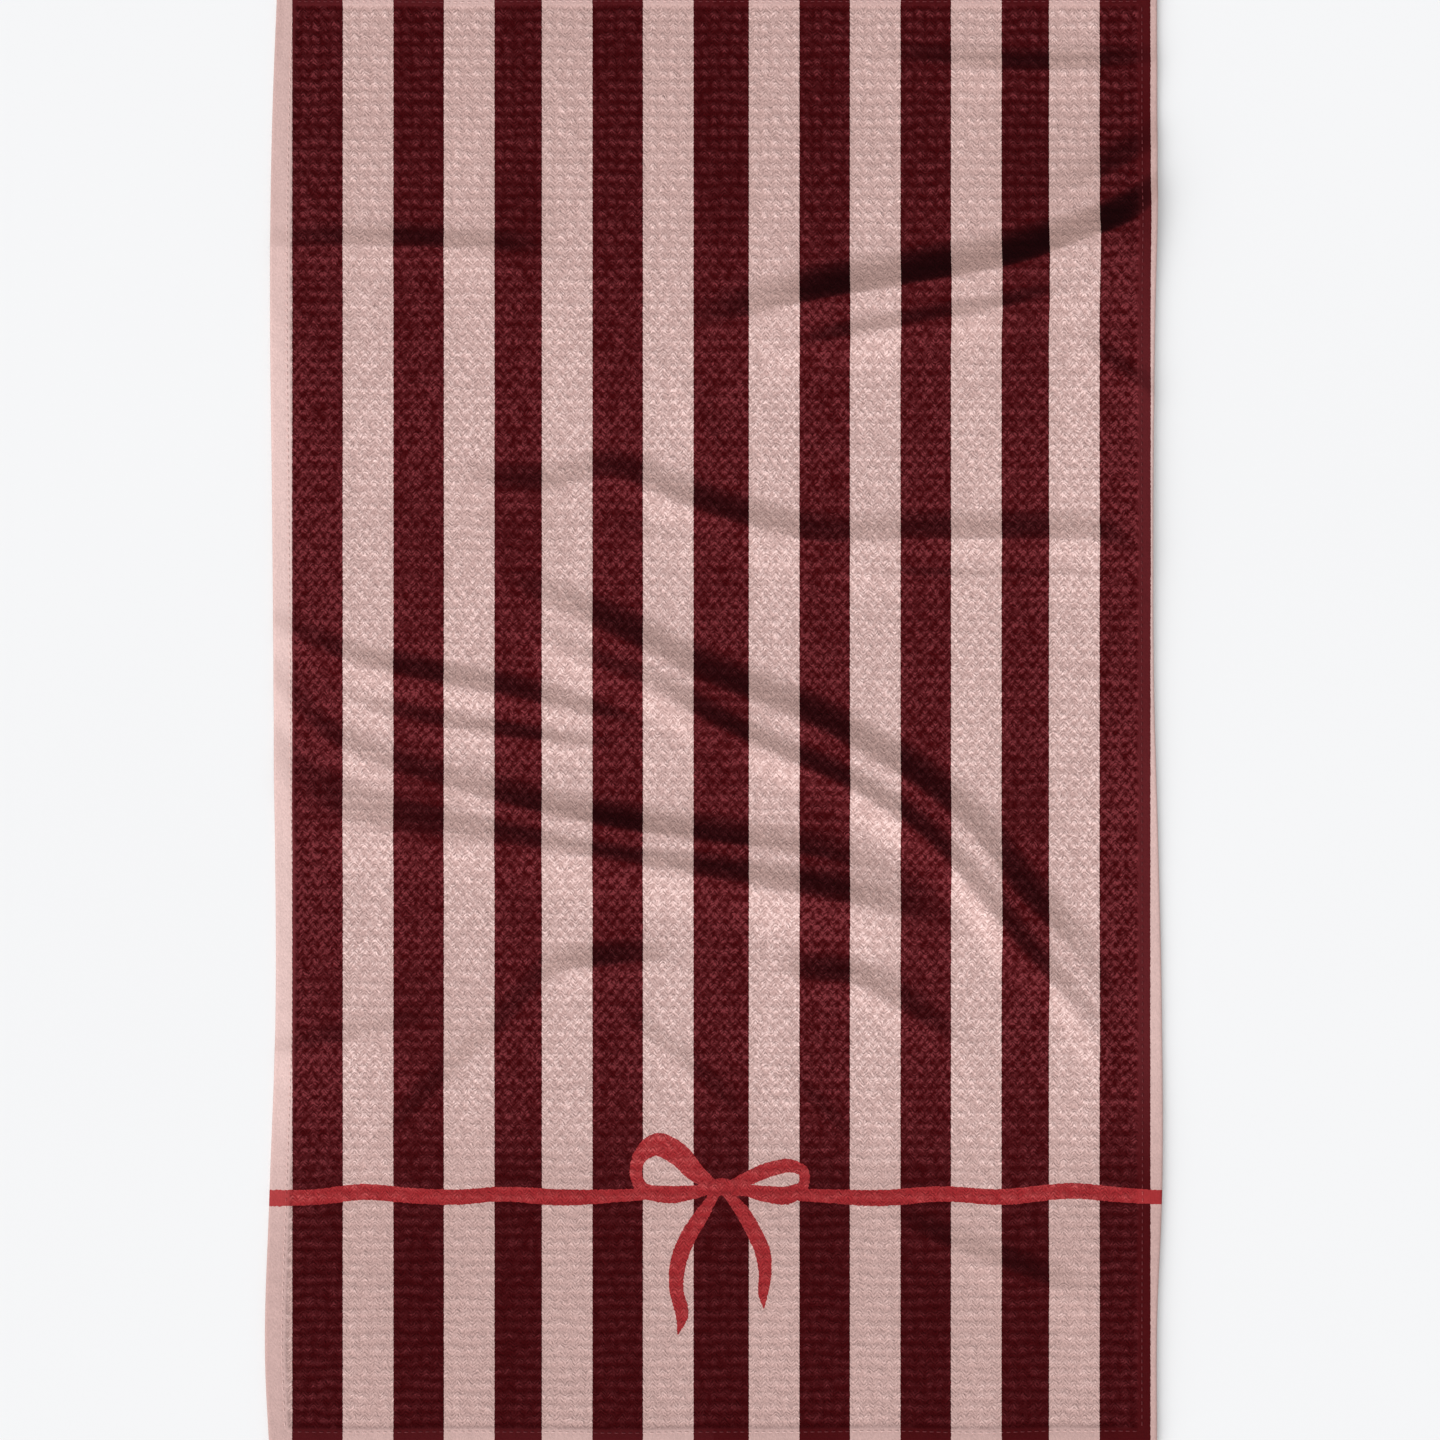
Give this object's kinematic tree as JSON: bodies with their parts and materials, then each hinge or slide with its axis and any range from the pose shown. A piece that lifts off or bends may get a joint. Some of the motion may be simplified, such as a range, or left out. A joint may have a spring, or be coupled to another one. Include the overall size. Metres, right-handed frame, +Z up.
{
  "type": "golf towel",
  "caption": "Hemmed waffle-weave golf towel printed with stripes and a ribbon bow, with a hang loop and a spring-gate clip for the bag.",
  "frame": {"origin": "middle of the cloth's underside, on the surface that the towel lies on", "axes": "+Z up out of the printed face, +Y along the length towards the hang loop, +X to the right of the face"},
  "size_m": [0.406, 0.752, 0.006],
  "materials": {
    "printed_cloth": "matte",
    "hem_cloth": "matte",
    "sewing_thread": "satin",
    "loop_tape": "matte",
    "clip_metal": "satin",
    "small_steel": "satin"
  },
  "bodies": {
    "towel": {"towel_panel": "printed_cloth", "hem_left": "hem_cloth", "hem_right": "hem_cloth", "hem_top": "hem_cloth", "hem_bottom": "hem_cloth", "needle_thread_left": "sewing_thread", "needle_thread_right": "sewing_thread", "needle_thread_top": "sewing_thread", "needle_thread_bottom": "sewing_thread", "bobbin_thread_left": "sewing_thread", "bobbin_thread_right": "sewing_thread", "bobbin_thread_top": "sewing_thread", "bobbin_thread_bottom": "sewing_thread", "hang_loop": "loop_tape", "bartack_thread": "sewing_thread"},
    "clip": {"clip_body": "clip_metal", "gate_rivet": "small_steel"},
    "gate": {"clip_gate": "clip_metal", "gate_spring": "small_steel", "gate_plunger": "small_steel"}
  },
  "joints": [
    {"name": "clip_swing", "type": "hinge", "parent": "towel", "child": "clip", "pos_m": [0, 0.363, 0.003], "axis": [1, 0, 0], "range_deg": [0, 175]},
    {"name": "gate_hinge", "type": "hinge", "parent": "clip", "child": "gate", "pos_m": [0.011, 0.3725, 0.00281], "axis": [0, 0.02, 0.9998], "range_deg": [0, 28], "stiffness_Nm_per_rad": 0.02, "springref_deg": -20.05}
  ]
}
